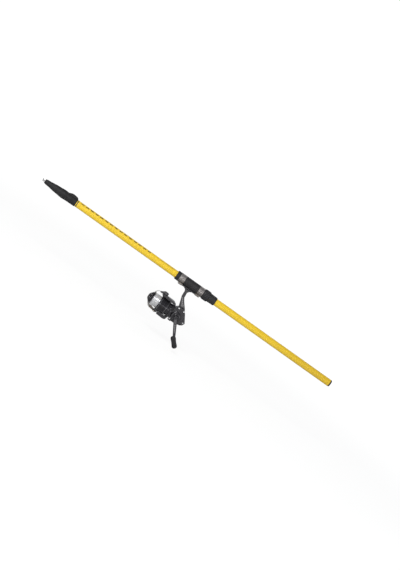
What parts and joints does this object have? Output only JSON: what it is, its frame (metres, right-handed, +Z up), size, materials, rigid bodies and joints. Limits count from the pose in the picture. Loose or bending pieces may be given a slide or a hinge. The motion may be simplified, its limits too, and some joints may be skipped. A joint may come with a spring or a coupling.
{
  "type": "fishing rod and reel",
  "caption": "Telescopic fishing rod, closed for carrying, with a fixed-spool reel clamped under its reel seat.",
  "frame": {"origin": "centre of the rod's butt end, on the rod's axis", "axes": "+X along the rod towards its butt end, so the tip points to -X; +Z up, away from the reel; the crank handle is on the -Y side"},
  "size_m": [1.0991, 0.1276, 0.2034],
  "materials": {
    "rod_paint": "clear-coated yellow paint on glass fibre",
    "black_plastic": "moulded, matte",
    "soft_black": "soft, matte",
    "guide_black": "black lacquer",
    "guide_ring": "polished",
    "hood_metal": "polished gunmetal",
    "reel_paint": "gloss gunmetal black",
    "trim": "gloss",
    "spool_metal": "black anodised",
    "line": "clear nylon line, wound",
    "steel": "machined",
    "brass": "machined",
    "zinc": "die-cast",
    "felt": "oiled felt"
  },
  "bodies": {
    "rod_butt": {"butt_section": "rod_paint", "butt_cap": "black_plastic", "butt_pad": "soft_black", "seat_front_ring": "black_plastic", "seat_barrel": "black_plastic", "seat_tail": "black_plastic", "front_hood": "hood_metal", "reel_body": "reel_paint", "side_cover": "reel_paint", "rear_guard": "trim", "cover_screws": "steel", "drive_bearings": "steel", "pinion_bearing": "steel", "pinion_rear_bush": "brass", "clutch_shell": "steel"},
    "section_1": {"section_1": "rod_paint", "guide_1": "guide_black", "guide_1_ring": "guide_ring"},
    "section_2": {"section_2": "rod_paint", "guide_2": "guide_black", "guide_2_ring": "guide_ring"},
    "section_3": {"section_3": "rod_paint", "guide_3": "guide_black", "guide_3_ring": "guide_ring"},
    "tip": {"tip_section": "rod_paint", "tip_top": "guide_black", "tip_top_ring": "guide_ring"},
    "tip_cap": {"tip_cap": "soft_black"},
    "rear_hood": {"rear_hood": "hood_metal"},
    "seat_nut": {"seat_nut": "black_plastic"},
    "handle": {"drive_gear": "zinc", "crosswind_pinion": "steel", "handle_rod": "steel", "handle_screw_cap": "black_plastic", "handle_hub": "reel_paint", "handle_arm": "reel_paint", "knob_spindle": "steel"},
    "handle_grip": {"handle_grip": "soft_black", "knob_collar": "reel_paint"},
    "crosswind_gear": {"crosswind_gear": "steel"},
    "rotor": {"rotor": "reel_paint", "pinion_gear": "brass", "rotor_nut": "steel", "clutch_core": "steel", "bail_pivot_screws": "steel"},
    "bail": {"bail_arm": "reel_paint", "bail_holder": "reel_paint", "bail_wire": "steel", "roller_spindle": "steel"},
    "line_roller": {"line_roller": "steel"},
    "main_shaft": {"main_shaft": "steel", "crosswind_slider": "brass", "spool_support": "felt"},
    "spool": {"spool": "spool_metal", "line_winding": "line", "line_clip": "black_plastic", "drag_washers": "felt", "washer_retainer": "steel"},
    "drag_knob": {"drag_knob": "spool_metal"},
    "anti_reverse_lever": {"anti_reverse_lever": "black_plastic"}
  },
  "joints": [
    {"name": "section_1_slide", "type": "slide", "parent": "rod_butt", "child": "section_1", "axis": [-1, 0, 0], "range_m": [0, 0.88]},
    {"name": "section_2_slide", "type": "slide", "parent": "section_1", "child": "section_2", "axis": [-1, 0, 0], "range_m": [0, 0.898]},
    {"name": "section_3_slide", "type": "slide", "parent": "section_2", "child": "section_3", "axis": [-1, 0, 0], "range_m": [0, 0.916]},
    {"name": "tip_slide", "type": "slide", "parent": "section_3", "child": "tip", "axis": [-1, 0, 0], "range_m": [0, 0.934]},
    {"name": "tip_cap_slide", "type": "slide", "parent": "tip", "child": "tip_cap", "axis": [-1, 0, 0], "range_m": [0, 0.15]},
    {"name": "seat_nut_turn", "type": "hinge", "parent": "rear_hood", "child": "seat_nut", "pos_m": [-0.475, 0, 0], "axis": [1, 0, 0], "range_deg": [0, 1440]},
    {"name": "rear_hood_slide", "type": "slide", "parent": "rod_butt", "child": "rear_hood", "axis": [1, 0, 0], "range_m": [0, 0.01]},
    {"name": "handle_turn", "type": "hinge", "parent": "rod_butt", "child": "handle", "pos_m": [-0.5135, 0, -0.1085], "axis": [0, 1, 0], "continuous": true},
    {"name": "grip_spin", "type": "hinge", "parent": "handle", "child": "handle_grip", "pos_m": [-0.47766, -0.053, -0.16863], "axis": [0, 1, 0], "continuous": true},
    {"name": "rotor_spin", "type": "hinge", "parent": "rod_butt", "child": "rotor", "pos_m": [-0.532, 0, -0.103], "axis": [1, 0, 0], "continuous": true},
    {"name": "crosswind_spin", "type": "hinge", "parent": "rod_butt", "child": "crosswind_gear", "pos_m": [-0.5, 0, -0.1085], "axis": [0, 1, 0], "continuous": true},
    {"name": "bail_swing", "type": "hinge", "parent": "rotor", "child": "bail", "pos_m": [-0.578, 0, -0.103], "axis": [0, 0, 1], "range_deg": [0, 108]},
    {"name": "roller_spin", "type": "hinge", "parent": "bail", "child": "line_roller", "pos_m": [-0.59708, 0.03053, -0.1315], "axis": [-0.5299, 0.848, 0], "continuous": true},
    {"name": "shaft_stroke", "type": "slide", "parent": "rod_butt", "child": "main_shaft", "axis": [-1, 0, 0], "range_m": [-0.0075, 0.0075]},
    {"name": "spool_spin", "type": "hinge", "parent": "main_shaft", "child": "spool", "pos_m": [-0.592, 0, -0.103], "axis": [1, 0, 0], "continuous": true},
    {"name": "drag_knob_turn", "type": "hinge", "parent": "main_shaft", "child": "drag_knob", "pos_m": [-0.612, 0, -0.103], "axis": [1, 0, 0], "range_deg": [-540, 540]},
    {"name": "lever_swing", "type": "hinge", "parent": "rod_butt", "child": "anti_reverse_lever", "pos_m": [-0.525, 0, -0.128], "axis": [0, 0, 1], "range_deg": [0, 30]}
  ],
  "couplings": [
    {"joint": "rear_hood_slide", "follows": "seat_nut_turn", "m_per_rad": 0.00039789},
    {"joint": "rotor_spin", "follows": "handle_turn", "ratio": 4.2222},
    {"joint": "crosswind_spin", "follows": "handle_turn", "ratio": -0.5}
  ]
}
